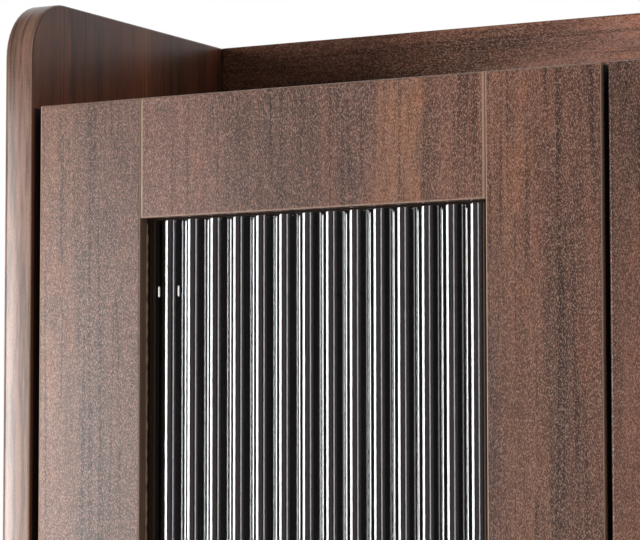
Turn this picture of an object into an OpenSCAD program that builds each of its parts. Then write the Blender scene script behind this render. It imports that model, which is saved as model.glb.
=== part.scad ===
// Kitchen hutch: a shallow glazed top stage on a deeper base, in walnut board.
// Millimetres. X runs along the width, Y from the front to the back, Z up.
// The origin is the centre of the footprint (pulls included), on the floor.

/* [Overall] */
// Width over the two side panels
width = 700; // [650:10:900]
// Floor to the top of the gallery
height = 1800; // [1600:10:2000]
// Depth of the base, side panels only
base_depth = 390; // [350:5:450]
// Depth of the top stage, back panel included
hutch_depth = 225; // [200:5:300]

/* [Boards] */
// Thickness of every carcass board and door frame
board = 18; // [16:0.5:22]
// Thickness of the back panels
back_t = 3; // [3:0.5:6]
// Width of the rabbet that holds a back panel
rabbet = 9; // [6:1:10]
// Radius of an eased board edge
ease = 1.1; // [0.5:0.1:2]
// Radius of a top-stage side's outer front edge
side_ease = 3; // [1:0.5:5]
// Radius of the top front corner of a top-stage side
corner_r = 32; // [10:1:50]

/* [Levels] */
// Height of the floor glides
glide_h = 5; // [3:1:10]
// Middle of an end glide from the side panel's edge
glide_in = 25; // [20:5:60]
// Height of the toe kick board
kick_h = 60; // [50:5:100]
// How far the toe kick stands back
kick_back = 40; // [30:5:70]
// Top of the worktop
worktop_z = 850; // [800:5:950]
// Worktop overhang past the base sides, at the front
overhang = 10; // [0:1:20]
// Height of the open niche under the top stage
niche_h = 375; // [300:5:450]
// Height of the gallery above the doors
gallery_h = 59; // [40:1:80]
// Height of a drawer front
drawer_h = 150; // [120:5:200]
// Base shelf below the middle of the lower doors
shelf_drop_base = 10; // [0:5:100]
// Top-stage shelf below the middle of the upper doors
shelf_drop_hutch = 7; // [0:1:60]
// How far the base shelf stands behind the base bottom's edge
shelf_back_base = 23; // [5:1:80]
// How far the top-stage shelf stands behind the bottom panel's edge
shelf_back_hutch = 4; // [2:1:40]

/* [Doors] */
// Gap between two fronts, and beside each front
reveal = 3.5; // [2:0.1:4]
// How far the fronts stand behind the side panels' edges
set_back = 3; // [0:0.5:6]
// Width of a door stile
stile_w = 63; // [50:1:80]
// Width of a door rail
rail_w = 64; // [50:1:80]
// Depth of the front lip before the glass or the panel
lip = 8; // [5:0.5:10]
// Width of the rebate or groove round the opening
rebate = 8; // [6:0.5:10]
// Thickness of the fluted glass at a crest
glass_t = 5; // [4:0.5:6]
// Width of one flute
flute = 13.76; // [8:0.01:20]
// Middle of the first whole flute from the door's hinge edge
flute_in = 76; // [70:0.1:80]
// Thickness of a lower door's panel
panel_t = 6; // [4:0.5:8]

/* [Hinges] */
// Distance of a hinge from a door's top or bottom
hinge_in = 102; // [80:1:120]
// Pivot behind the door's front face
pivot_y = 7.7; // [7:0.1:9]
// Pivot from the door's hinge edge
pivot_x = 8.5; // [8:0.1:10]
// Distance between the two screws of a hinge plate
plate_cc = 32; // [24:2:32]
// Radius of the cup
cup_r = 17.4; // [13:0.1:18]
// Radius of the hinge pin
pin_r = 1.2; // [1:0.1:2]
// Radial running clearance of the pin
pin_gap = 0.05; // [0.02:0.01:0.1]

/* [Drawers] */
// Thickness of a drawer box side
box_t = 12; // [10:1:16]
// Height of a drawer box
box_h = 110; // [80:5:130]
// Length of a ball slide
slide_l = 350; // [300:50:400]
// Width taken by one ball slide
slide_w = 12.7; // [12:0.1:13]
// Height of a ball slide
slide_h = 45; // [35:1:53]
// Length of a drawer box
box_l = 350; // [300:10:350]
// Drawer box above the deck
box_up = 14.25; // [5:0.25:25]

/* [Pulls] */
// Distance between the two posts
pull_cc = 128; // [96:32:192]
// Radius of the bar
pull_r = 5; // [4:0.5:7]
// How far a pull stands out
pull_out = 28; // [25:1:35]
// Middle of an upper pull above its door's lower edge
pull_up = 125; // [100:5:200]
// Middle of a lower pull below its door's upper edge
pull_down = 130; // [100:5:200]

/* [Wall fixing] */
// Distance between the two fixing holes
fix_cc = 400; // [300:10:500]
// Radius of a fixing hole
fix_r = 2.75; // [2:0.25:4]
// Height of the wall-fixing rail
fix_rail_h = 70; // [50:5:100]

/* [View] */
// Sub-part to show

/* [Hidden] */
hw = width / 2;
ix = hw - board;
yb = (base_depth + pull_out - set_back) / 2;
bf = yb - base_depth;
hf = yb - hutch_depth;
dfl = bf + set_back;
dfu = hf + set_back;
board_gap = 21.5;
bfl = dfl + board_gap;
bfu = dfu + board_gap;
yi = yb - back_t;
door_w = ix - reveal * 1.5;
d_in = reveal / 2;
d_out = d_in + door_w;
z_kick = glide_h + kick_h;
z_wt0 = worktop_z - board;
z_dr1 = z_wt0 - reveal;
z_dr0 = z_dr1 - drawer_h;
z_dl1 = z_dr0 - reveal;
z_dl0 = z_kick;
z_deck = z_dr0 - reveal / 2 - board / 2;
z_du0 = worktop_z + niche_h;
z_du1 = height - gallery_h;
z_sh_l = (z_dl0 + z_dl1) / 2 - shelf_drop_base;
z_sh_u = (z_du0 + z_du1) / 2 - shelf_drop_hutch;
hx = d_out - pivot_x;
cup_x = d_out - 22.5;
pull_u = z_du0 + pull_up;
pull_l = z_dl1 - pull_down;
box_z = z_deck + board + box_up;
sl_z = box_z + slide_h;
bay0 = board / 2;
fix_z = z_du1 - board - fix_rail_h / 2;
dowel_y = [hf + 47.5, yb - 37.5];
bx0 = bay0 + slide_w;
bx1 = ix - slide_w;
dcx = (d_in + d_out) / 2;
dzc = (z_dr0 + z_dr1) / 2;
e = 0.01;
wal = [0.42, 0.30, 0.24];
dark = [0.30, 0.21, 0.17];
steel = [0.72, 0.73, 0.75];
brass = [0.74, 0.60, 0.36];

// helpers

// a box given by its corners
module bx(x0, x1, y0, y1, z0, z1) {
  translate([x0, y0, z0]) cube([x1 - x0, y1 - y0, z1 - z0]);
}

// a rectangle with its own radius at each corner: low-low, high-low, high-high, low-high
module rrect(x0, x1, y0, y1, r) {
  c = [[x0, y0, 1, 1], [x1, y0, -1, 1], [x1, y1, -1, -1], [x0, y1, 1, -1]];
  difference() {
    translate([x0, y0]) square([x1 - x0, y1 - y0]);
    for (i = [0:3]) if (r[i] > 0)
      translate([c[i][0] - (c[i][2] < 0 ? r[i] : e), c[i][1] - (c[i][3] < 0 ? r[i] : e)])
        square([r[i] + e, r[i] + e]);
  }
  for (i = [0:3]) if (r[i] > 0)
    translate([c[i][0] + c[i][2] * r[i], c[i][1] + c[i][3] * r[i]]) circle(r[i], $fn = 16);
}

// extrude an X-Y profile upwards
module up(z0, z1) { translate([0, 0, z0]) linear_extrude(z1 - z0) children(); }

// extrude a Y-Z profile along X
module along(x0, x1) {
  translate([x0, 0, 0]) rotate([90, 0, 90]) linear_extrude(x1 - x0) children();
}

// a board whose long front edges are eased, lying along X
module board_x(x0, x1, y0, y1, z0, z1, r = ease) {
  along(x0, x1) rrect(y0, y1, z0, z1, [r, 0, 0, r]);
}

// a board whose long front edges are eased, standing along Z
module board_z(x0, x1, y0, y1, z0, z1, r = ease) {
  up(z0, z1) rrect(x0, x1, y0, y1, [r, r, 0, 0]);
}

// a plate with all four front edges eased
module plate(x0, x1, y0, y1, z0, z1, rl = ease, rr = ease, rb = ease, rt = ease) {
  intersection() {
    up(z0 - 1, z1 + 1) rrect(x0, x1, y0, y1, [rl, rr, 0, 0]);
    along(x0 - 1, x1 + 1) rrect(y0, y1, z0, z1, [rb, 0, 0, rt]);
  }
}

// cylinders along X and along Y
module cx(x0, x1, y, z, r, fn = 16) {
  translate([x0, y, z]) rotate([0, 90, 0]) cylinder(r = r, h = x1 - x0, $fn = fn);
}
module cy(x, y0, y1, z, r, fn = 16) {
  translate([x, y0, z]) rotate([-90, 0, 0]) cylinder(r = r, h = y1 - y0, $fn = fn);
}
module cz(x, y, z0, z1, r, fn = 16) {
  translate([x, y, z0]) cylinder(r = r, h = z1 - z0, $fn = fn);
}
module flip() { mirror([1, 0, 0]) children(); }
module both() { children(); flip() children(); }

// carcass
plate_y = 50;
pin_rows_u = [z_sh_u - 35, z_sh_u - 3, z_sh_u + 29];
pin_rows_l = [z_sh_l - 35, z_sh_l - 3, z_sh_l + 29];
pin_y_u = [bfu + 23, yi - 32.5];
pin_y_l = [bfl + 48, yi - 44.5];
hz_u = [z_du0 + hinge_in, z_du1 - hinge_in];
hz_l = [z_dl0 + hinge_in, z_dl1 - hinge_in];

// pilot holes of the hinge plates, on the right-hand side panel
module plate_holes(df, zs) {
  for (z = zs, s = [-1, 1]) cx(ix - e, ix + 12, df + plate_y, z + s * plate_cc / 2, 1.75);
}

module base_side() {
  difference() {
    board_z(ix, hw, bf, yb, glide_h, z_wt0);
    bx(ix - 1, ix + rabbet, yi, yb + 1, glide_h - 1, z_wt0 + 1);
    for (z = pin_rows_l, y = pin_y_l) cx(ix - 1, ix + 10, y, z, 2.5);
    plate_holes(dfl, hz_l);
  }
}

module hutch_side() {
  difference() {
    union() {
      up(worktop_z, height - corner_r) rrect(ix, hw, hf, yb, [ease, side_ease, 0, 0]);
      translate([0, hf + corner_r, 0]) rotate([90, 0, 0]) mirror([0, 0, 1])
        linear_extrude(yb - hf - corner_r)
          rrect(ix, hw, height - corner_r, height, [0, 0, side_ease, ease]);
      translate([ix, hf + corner_r, height - corner_r]) rotate([0, 90, 0]) rotate([0, 0, 180])
        rotate_extrude(angle = 90, $fn = 64)
          rrect(0, corner_r, 0, board, [0, ease, side_ease, 0]);
    }
    bx(ix - 1, ix + rabbet, yi, yb + 1, worktop_z - 1, height - 10);
    for (z = pin_rows_u, y = pin_y_u) cx(ix - 1, ix + 10, y, z, 2.5);
    for (y = dowel_y) cz(ix + board / 2, y, worktop_z - 1, worktop_z + 12.5, 4.05);
    plate_holes(dfu, hz_u);
  }
}

module base_side_left() { color(wal) flip() base_side(); }
module base_side_right() { color(wal) base_side(); }
module hutch_side_left() { color(wal) flip() hutch_side(); }
module hutch_side_right() { color(wal) hutch_side(); }

// cam lock bores, two at each end, in a board's underside
cam_y = [bfl + 48, yi - 44.5];
module cam_at(z0, ys, r, h) { both() for (y = ys) cz(ix - 34, y, z0, z0 + h, r); }

module base_bottom() {
  color(wal) difference() {
    board_x(-ix, ix, bfl, yi, z_kick, z_kick + board);
    cam_at(z_kick - e, cam_y, 7.55, 12.5);
  }
}
module toe_kick() {
  color(wal) bx(-ix, ix, bf + kick_back, bf + kick_back + board, glide_h, z_kick);
}
module drawer_deck() {
  color(wal) difference() {
    board_x(-ix, ix, bfl, yi, z_deck, z_deck + board);
    cam_at(z_deck - e, cam_y, 7.55, 12.5);
  }
}
module drawer_partition() {
  color(wal) board_z(-board / 2, board / 2, bfl, yi, z_deck + board, z_wt0);
}
module base_shelf() {
  color(wal) board_x(1 - ix, ix - 1, bfl + shelf_back_base, yi - 0.5, z_sh_l, z_sh_l + board);
}
module base_back_panel() {
  color(dark) bx(-ix - rabbet, ix + rabbet, yi, yb, glide_h, z_wt0);
}
module worktop() {
  color(wal) difference() {
    plate(-hw, hw, bf - overhang, yb, z_wt0, worktop_z);
    both() for (y = dowel_y) cz(ix + board / 2, y, worktop_z - 12.5, worktop_z + 1, 4.05);
  }
}
cam_yu = [bfu + 53, yi - 44.5];
module hutch_bottom_panel() {
  color(wal) difference() {
    board_x(-ix, ix, bfu, yi, z_du0, z_du0 + board);
    cam_at(z_du0 - e, cam_yu, 7.55, 12.5);
  }
}
module hutch_top_panel() {
  color(wal) difference() {
    board_x(-ix, ix, bfu, yi, z_du1 - board, z_du1);
    cam_at(z_du1 - board - e, cam_yu, 7.55, 12.5);
  }
}
module hutch_upstand() {
  color(wal) along(-ix, ix) rrect(yi - board, yi, z_du1, height, [0, 0, ease, ease]);
}
module hutch_shelf() {
  color(wal) board_x(1 - ix, ix - 1, bfu + shelf_back_hutch, yi - 0.5, z_sh_u, z_sh_u + board);
}
module hutch_back_panel() {
  color(dark) difference() {
    bx(-ix - rabbet, ix + rabbet, yi, yb, worktop_z, height - 10);
    both() cy(fix_cc / 2, yi - 1, yb + 1, fix_z, fix_r, 24);
  }
}
module wall_fixing_rail() {
  color(wal) difference() {
    board_x(-ix, ix, yi - board, yi, z_du1 - board - fix_rail_h, z_du1 - board);
    both() cy(fix_cc / 2, yi - board - 1, yi + 1, fix_z, fix_r, 24);
  }
}

// a spade pin: a peg in the side panel and a flat rest under the shelf
module spade(y, z) {
  cx(ix - 2, ix + 9, y, z, 2.45);
  bx(ix - 8, ix - e, y - 5, y + 5, z + 0.5, z + 3);
  bx(ix - 2, ix - e, y - 5, y + 5, z - 4, z + 3);
}
module shelf_pins() {
  color(steel) both() {
    for (y = pin_y_u) spade(y, pin_rows_u[1]);
    for (y = pin_y_l) spade(y, pin_rows_l[1]);
  }
}
module floor_glides() {
  color([0.1, 0.1, 0.1]) both() {
    for (y = [bf + glide_in, (bf + yb) / 2, yb - glide_in]) cz(ix + board / 2, y, 0, glide_h, 8, 24);
  }
}
module cam_locks() {
  color(steel) {
    cam_at(z_kick, cam_y, 7.5, 12.5);
    cam_at(z_deck, cam_y, 7.5, 12.5);
    cam_at(z_du0, cam_yu, 7.5, 12.5);
    cam_at(z_du1 - board, cam_yu, 7.5, 12.5);
  }
}
module stage_dowels() {
  color([0.75, 0.6, 0.4]) both()
    for (y = dowel_y) cz(ix + board / 2, y, worktop_z - 12, worktop_z + 12, 4);
}

// hinges

// an arm: a knuckle on the pin, a straight neck, a foot and a plate with two screwed wings
module arm(df, z) {
  py = df + pivot_y;
  difference() {
    union() {
      cz(hx, py, z - 6, z + 6, 2.3, 24);
      bx(hx - 1.3, hx + 1.3, py, df + 27, z - 6, z + 6);
      bx(hx - 1.3, ix, df + 24.4, df + 27, z - 6, z + 6);
      bx(ix - 2.6, ix, df + 24.4, df + 66, z - 9, z + 9);
      bx(ix - 2.6, ix, df + plate_y - 6, df + plate_y + 6,
        z - plate_cc / 2 - 6, z + plate_cc / 2 + 6);
    }
    cz(hx, py, z - 7, z + 7, pin_r + pin_gap);
    for (s = [-1, 1]) cx(ix - 3, ix + 1, df + plate_y, z + s * plate_cc / 2, 2.1);
  }
}
module hinge_arms() {
  color(steel) both() {
    for (z = hz_u) arm(dfu, z);
    for (z = hz_l) arm(dfl, z);
  }
}
module plate_screw(df, z) {
  cx(ix - 4.2, ix - 2.6, df + plate_y, z, 3.8);
  cx(ix - 2.7, ix + 11.5, df + plate_y, z, 1.7);
}
module hinge_screws() {
  color(steel) both() {
    for (z = hz_u, s = [-1, 1]) plate_screw(dfu, z + s * plate_cc / 2);
    for (z = hz_l, s = [-1, 1]) plate_screw(dfl, z + s * plate_cc / 2);
  }
}

// a cup with its flange, its pin and its two screws, in a right-hand door
module cup(df, z) {
  difference() {
    union() {
      cy(cup_x, df + 4.05, df + 19, z, cup_r, 48);
      intersection() {
        bx(cup_x - 10.5, cup_x + 10.5, df + board, df + 19, z - 31, z + 31);
        cy(cup_x, df + board - 1, df + 20, z, 31.5, 48);
      }
    }
    cy(cup_x, df + 4.9, df + 20, z, cup_r - 1.2, 48);
    bx(d_out - 9, d_out + 1, df + 3, df + 20, z - 7, z + 7);
  }
  cz(hx, df + pivot_y, z - 9.3, z + 9.3, pin_r);
  for (s = [-24, 24]) {
    cy(cup_x, df + 8, df + 19.1, z + s, 1.5);
    cy(cup_x, df + 19, df + 20.2, z + s, 3.2);
  }
}

// what a hinge takes out of a right-hand stile
module hinge_seat(df, z) {
  cy(cup_x, df + 4, df + 20, z, cup_r + 0.05, 48);
  bx(d_out - 9, d_out + 1, df + 4.7, df + 20, z - 7, z + 7);
  for (s = [-24, 24]) cy(cup_x, df + 7.8, df + 20, z + s, 1.55);
}

// doors, drawn as right-hand doors
xs0 = d_in + stile_w;
xs1 = d_out - stile_w;
px = d_in + stile_w / 2;

// the groove or rebate round the opening
module seat_cut(df, z0, z1, through) {
  bx(xs0 - rebate, xs1 + rebate, df + lip, df + (through ? board + 1 : lip + panel_t),
    z0 + rail_w - rebate, z1 - rail_w + rebate);
}
module stiles(df, z0, z1, zp, hz, through) {
  difference() {
    union() {
      plate(d_in, xs0, df, df + board, z0, z1, ease, 0.8);
      plate(xs1, d_out, df, df + board, z0, z1, 0.8, ease);
    }
    seat_cut(df, z0, z1, through);
    for (z = hz) hinge_seat(df, z);
    for (s = [-1, 1]) cy(px, df - 1, df + 20, zp + s * pull_cc / 2, 2.1);
  }
}
module rails(df, z0, z1, through) {
  difference() {
    union() {
      plate(xs0, xs1, df, df + board, z0, z0 + rail_w, 0.8, 0.8, ease, 0.8);
      plate(xs0, xs1, df, df + board, z1 - rail_w, z1, 0.8, 0.8, 0.8, ease);
    }
    seat_cut(df, z0, z1, through);
  }
}
// fluted glass: a flat back and convex flutes facing forwards
gx0 = xs0 - rebate + 0.5;
gx1 = xs1 + rebate - 0.5;
fl_r = 14.5;
fl_s = fl_r - sqrt(fl_r * fl_r - flute * flute / 4);
fl_c = d_out - flute_in;
fl_first = -ceil((gx1 - fl_c) / flute - 0.5);
fl_last = ceil((fl_c - gx0) / flute - 0.5);
module glass(df, z0, z1) {
  y0 = df + lip;
  up(z0 + rail_w - rebate + 0.5, z1 - rail_w + rebate - 0.5) intersection() {
    translate([gx0, y0]) square([gx1 - gx0, glass_t]);
    union() {
      translate([gx0, y0 + fl_s]) square([gx1 - gx0, glass_t - fl_s]);
      for (i = [fl_first:fl_last])
        intersection() {
          translate([fl_c - i * flute, y0 + fl_r]) circle(fl_r, $fn = 72);
          translate([fl_c - i * flute - flute / 2, y0]) square([flute, fl_s + 0.5]);
        }
    }
  }
}
// beads that hold the glass from behind
module beads(df, z0, z1) {
  y0 = df + lip + glass_t;
  za = z0 + rail_w - rebate;
  zb = z1 - rail_w + rebate;
  difference() {
    bx(xs0 - rebate, xs1 + rebate, y0, df + board, za, zb);
    bx(xs0, xs1, y0 - 1, df + board + 1, za + rebate, zb - rebate);
  }
}
module panel(df, z0, z1) {
  bx(xs0 - rebate + 0.5, xs1 + rebate - 0.5, df + lip + 0.1, df + lip + panel_t - 0.1,
    z0 + rail_w - rebate + 0.5, z1 - rail_w + rebate - 0.5);
}

// a bar pull with two posts and its screws; t is what the screws pass through
module pull_bar(t) {
  c = -pull_out + pull_r;
  difference() {
    union() {
      cz(0, c, -pull_cc / 2 - 12, pull_cc / 2 + 12, pull_r, 32);
      for (s = [-1, 1]) cy(0, c, 0, s * pull_cc / 2, 4, 24);
    }
    for (s = [-1, 1]) cy(0, -12, 1, s * pull_cc / 2, 1.95);
  }
  for (s = [-1, 1]) {
    cy(0, -11, t + 0.5, s * pull_cc / 2, 1.95);
    cy(0, t, t + 2.2, s * pull_cc / 2, 4, 24);
  }
}

module upper_right_stiles() { color(wal) stiles(dfu, z_du0, z_du1, pull_u, hz_u, true); }
module upper_right_rails() { color(wal) rails(dfu, z_du0, z_du1, true); }
module upper_right_glass() { color([0.8, 0.85, 0.87, 0.4]) glass(dfu, z_du0, z_du1); }
module upper_right_beads() { color(dark) beads(dfu, z_du0, z_du1); }
module upper_right_hinge_cups() { color(steel) for (z = hz_u) cup(dfu, z); }
module upper_right_pull() { color(brass) translate([px, dfu, pull_u]) pull_bar(board); }
module upper_left_stiles() { flip() upper_right_stiles(); }
module upper_left_rails() { flip() upper_right_rails(); }
module upper_left_glass() { flip() upper_right_glass(); }
module upper_left_beads() { flip() upper_right_beads(); }
module upper_left_hinge_cups() { flip() upper_right_hinge_cups(); }
module upper_left_pull() { flip() upper_right_pull(); }

module lower_right_stiles() { color(wal) stiles(dfl, z_dl0, z_dl1, pull_l, hz_l, false); }
module lower_right_rails() { color(wal) rails(dfl, z_dl0, z_dl1, false); }
module lower_right_panel() { color(wal) panel(dfl, z_dl0, z_dl1); }
module lower_right_hinge_cups() { color(steel) for (z = hz_l) cup(dfl, z); }
module lower_right_pull() { color(brass) translate([px, dfl, pull_l]) pull_bar(board); }
module lower_left_stiles() { flip() lower_right_stiles(); }
module lower_left_rails() { flip() lower_right_rails(); }
module lower_left_panel() { flip() lower_right_panel(); }
module lower_left_hinge_cups() { flip() lower_right_hinge_cups(); }
module lower_left_pull() { flip() lower_right_pull(); }

// drawers, drawn as the right-hand drawer
dy0 = dfl + board;
dy1 = dy0 + box_l;
module pull_holes() {
  for (s = [-1, 1]) cy(dcx + s * pull_cc / 2, dfl - 1, dy0 + box_t + 1, dzc, 2.1);
}
module right_drawer_front() {
  color(wal) difference() {
    plate(d_in, d_out, dfl, dy0, z_dr0, z_dr1);
    pull_holes();
  }
}
module right_drawer_box() {
  color(dark) difference() {
    union() {
      bx(bx0, bx0 + box_t, dy0, dy1, box_z, box_z + box_h);
      bx(bx1 - box_t, bx1, dy0, dy1, box_z, box_z + box_h);
      bx(bx0 + box_t, bx1 - box_t, dy0, dy0 + box_t, box_z, box_z + box_h);
      bx(bx0 + box_t, bx1 - box_t, dy1 - box_t, dy1, box_z, box_z + box_h);
    }
    bx(bx0 + box_t - 6, bx1 - box_t + 6, dy0 + box_t - 6, dy1 - box_t + 6,
      box_z + 8, box_z + 12);
    pull_holes();
  }
}
module right_drawer_bottom() {
  color(dark) bx(bx0 + box_t - 5.8, bx1 - box_t + 5.8, dy0 + box_t - 5.8,
    dy1 - box_t + 5.8, box_z + 8, box_z + 12);
}
module right_drawer_pull() {
  color(brass) translate([dcx, dfl, dzc]) rotate([0, 90, 0]) pull_bar(board + box_t);
}
// ball slide members: channels nested in one another; x counts from the cabinet wall
module channel(x0, x1, h, web, y0, y1) {
  t = 1.2;
  xw = web < 0 ? x0 : x1 - t;
  bx(xw, xw + t, y0, y1, -h, h);
  bx(x0, x1, y0, y1, h - t, h);
  bx(x0, x1, y0, y1, -h, t - h);
}
sy0 = bfl + 2;
// puts a slide drawn from the wall at x = 0 on both walls of the right-hand bay
module on_walls() {
  translate([bay0, 0, sl_z]) children();
  translate([ix, 0, sl_z]) mirror([1, 0, 0]) children();
}
module slide_outer_members() {
  color(steel) both() on_walls() channel(0, 9, slide_h / 2, -1, sy0, sy0 + slide_l);
}
module right_slide_middle() {
  color(steel) on_walls() channel(1.6, 10.6, slide_h / 2 - 1.5, -1, sy0, sy0 + slide_l);
}
module right_slide_inner() {
  color(steel) on_walls() channel(3.2, slide_w, slide_h / 2 - 3, 1, sy0, sy0 + slide_l - 8);
}
module left_drawer_front() { flip() right_drawer_front(); }
module left_drawer_box() { flip() right_drawer_box(); }
module left_drawer_bottom() { flip() right_drawer_bottom(); }
module left_drawer_pull() { flip() right_drawer_pull(); }
module left_slide_middle() { flip() right_slide_middle(); }
module left_slide_inner() { flip() right_slide_inner(); }

// pads on the board edges that the fronts close against
module pad(x, y, z) { cy(x, y - 3.4, y, z, 2.8); }
module door_bumpers() {
  color([0.15, 0.15, 0.15]) both() {
    for (z = [z_du0 + 9, z_du1 - 9]) pad(22, bfu, z);
    pad(22, bfl, z_dl0 + 9);
    pad(22, bfl, z_deck + 4.2);
    pad(22, bfl, z_deck + board - 4.2);
    pad(ix - 22, bfl, z_deck + board - 4.2);
  }
}

base_side_left();
base_side_right();
base_bottom();
toe_kick();
drawer_deck();
drawer_partition();
base_shelf();
base_back_panel();
worktop();
hutch_side_left();
hutch_side_right();
hutch_bottom_panel();
hutch_top_panel();
hutch_upstand();
hutch_shelf();
hutch_back_panel();
wall_fixing_rail();
shelf_pins();
floor_glides();
hinge_arms();
hinge_screws();
slide_outer_members();
door_bumpers();
cam_locks();
stage_dowels();
upper_left_stiles();
upper_left_rails();
upper_left_glass();
upper_left_beads();
upper_left_hinge_cups();
upper_left_pull();
upper_right_stiles();
upper_right_rails();
upper_right_glass();
upper_right_beads();
upper_right_hinge_cups();
upper_right_pull();
lower_left_stiles();
lower_left_rails();
lower_left_panel();
lower_left_hinge_cups();
lower_left_pull();
lower_right_stiles();
lower_right_rails();
lower_right_panel();
lower_right_hinge_cups();
lower_right_pull();
left_drawer_front();
left_drawer_box();
left_drawer_bottom();
left_slide_inner();
left_drawer_pull();
left_slide_middle();
right_drawer_front();
right_drawer_box();
right_drawer_bottom();
right_slide_inner();
right_drawer_pull();
right_slide_middle();
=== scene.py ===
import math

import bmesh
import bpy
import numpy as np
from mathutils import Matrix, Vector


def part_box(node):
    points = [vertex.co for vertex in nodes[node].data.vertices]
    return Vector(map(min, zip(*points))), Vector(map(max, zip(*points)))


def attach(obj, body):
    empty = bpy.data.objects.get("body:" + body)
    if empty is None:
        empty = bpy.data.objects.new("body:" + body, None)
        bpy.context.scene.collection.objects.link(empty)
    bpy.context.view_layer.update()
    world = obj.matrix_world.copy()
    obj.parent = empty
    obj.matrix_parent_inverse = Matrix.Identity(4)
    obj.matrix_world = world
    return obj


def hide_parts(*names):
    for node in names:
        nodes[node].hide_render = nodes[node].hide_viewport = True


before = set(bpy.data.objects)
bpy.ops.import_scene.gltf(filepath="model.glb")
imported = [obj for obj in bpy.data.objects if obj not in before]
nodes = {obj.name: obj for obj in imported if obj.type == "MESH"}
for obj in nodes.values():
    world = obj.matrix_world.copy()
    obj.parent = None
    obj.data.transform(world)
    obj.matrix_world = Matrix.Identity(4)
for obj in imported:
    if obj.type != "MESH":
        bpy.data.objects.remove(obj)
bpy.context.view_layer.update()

# %% [markdown]
# A kitchen hutch is a shallow glazed cupboard that stands on a deeper base. This one is made of
# board wrapped in a walnut foil, with fluted glass in its upper doors. The packed model already
# holds every board, hinge, slide and pull at its real place, so this lesson gives those parts
# their finishes and adds the finer pieces round them: the fluted panes, their gaskets and
# sealant, near-black strips of painted shade in the gaps beside the doors, and small white pads.

# %% [markdown]
# The camera stands to the right of the cupboard, a little over a metre and a half away, and looks
# up and left at its top corner through a long lens. Its place was found by matching the corners
# of the boards, whose sizes are known. A long lens keeps the uprights nearly parallel. The matrix
# is built from three directions, because that needs no guess about the order of angles.

# %% Camera
EYE = Vector((0.619643, -1.461320, 1.502970))
YAW, PITCH, ROLL = math.radians(28.26134), math.radians(4.95411), math.radians(-0.05490)
LENS_MM, FILM_MM = 182.02, 36

ahead = Vector((-math.sin(YAW) * math.cos(PITCH), math.cos(YAW) * math.cos(PITCH), math.sin(PITCH)))
level = Vector((math.cos(YAW), math.sin(YAW), 0))
above = level.cross(ahead)
right = math.cos(ROLL) * level + math.sin(ROLL) * above
top = math.cos(ROLL) * above - math.sin(ROLL) * level

camera = bpy.data.objects.new("camera", bpy.data.cameras.new("camera"))
camera.data.lens = LENS_MM
camera.data.sensor_width = FILM_MM
camera.data.clip_start = 0.05
camera.data.clip_end = 50
camera.matrix_world = Matrix.Translation(EYE) @ Matrix((right, top, -ahead)).transposed().to_4x4()
bpy.context.scene.collection.objects.link(camera)
bpy.context.scene.camera = camera
print("camera at", [round(v, 3) for v in EYE], "lens", LENS_MM)

# %% [markdown]
# A finish is a graph of nodes, and most of the graph is arithmetic on masks. Writing that as
# nodes and links is long, so one small class stands for a socket and gives it the usual
# operators: `1 - mask * 0.5` adds the Math nodes that it needs. A second class holds the tree
# and makes any other node in one call: its type, then its settings, then its inputs.

# %% Wires and node trees
class Wire:
    """An output socket that can be used in arithmetic. Each operator adds one Math node."""

    def __init__(self, tree, socket):
        self.tree, self.socket = tree, socket

    def math(self, operation, *values):
        inputs = dict(enumerate(values))
        return self.tree.node("ShaderNodeMath", {"operation": operation}, inputs)

    def __add__(self, other):
        return self.math("ADD", self, other)

    def __sub__(self, other):
        return self.math("SUBTRACT", self, other)

    def __rsub__(self, other):
        return self.math("SUBTRACT", other, self)

    def __mul__(self, other):
        return self.math("MULTIPLY", self, other)

    def __abs__(self):
        return self.math("ABSOLUTE", self)

    __radd__, __rmul__ = __add__, __mul__

    def least(self, other):
        return self.math("MINIMUM", self, other)

    def most(self, other):
        return self.math("MAXIMUM", self, other)

    def rise(self, low, high):
        """0 below low, 1 above high, and an S curve between. It falls where low is above high."""
        return self.tree.node("ShaderNodeMapRange", {"interpolation_type": "SMOOTHSTEP"},
                              {"Value": self, "From Min": low, "From Max": high})

    def near(self, centre, half, soft):
        """1 within half of the centre, and 0 from half + soft away."""
        return abs(self - centre).rise(half + soft, half)

    def other(self, name):
        """Another output of the node that this wire comes from."""
        return Wire(self.tree, self.socket.node.outputs[name])


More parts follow.
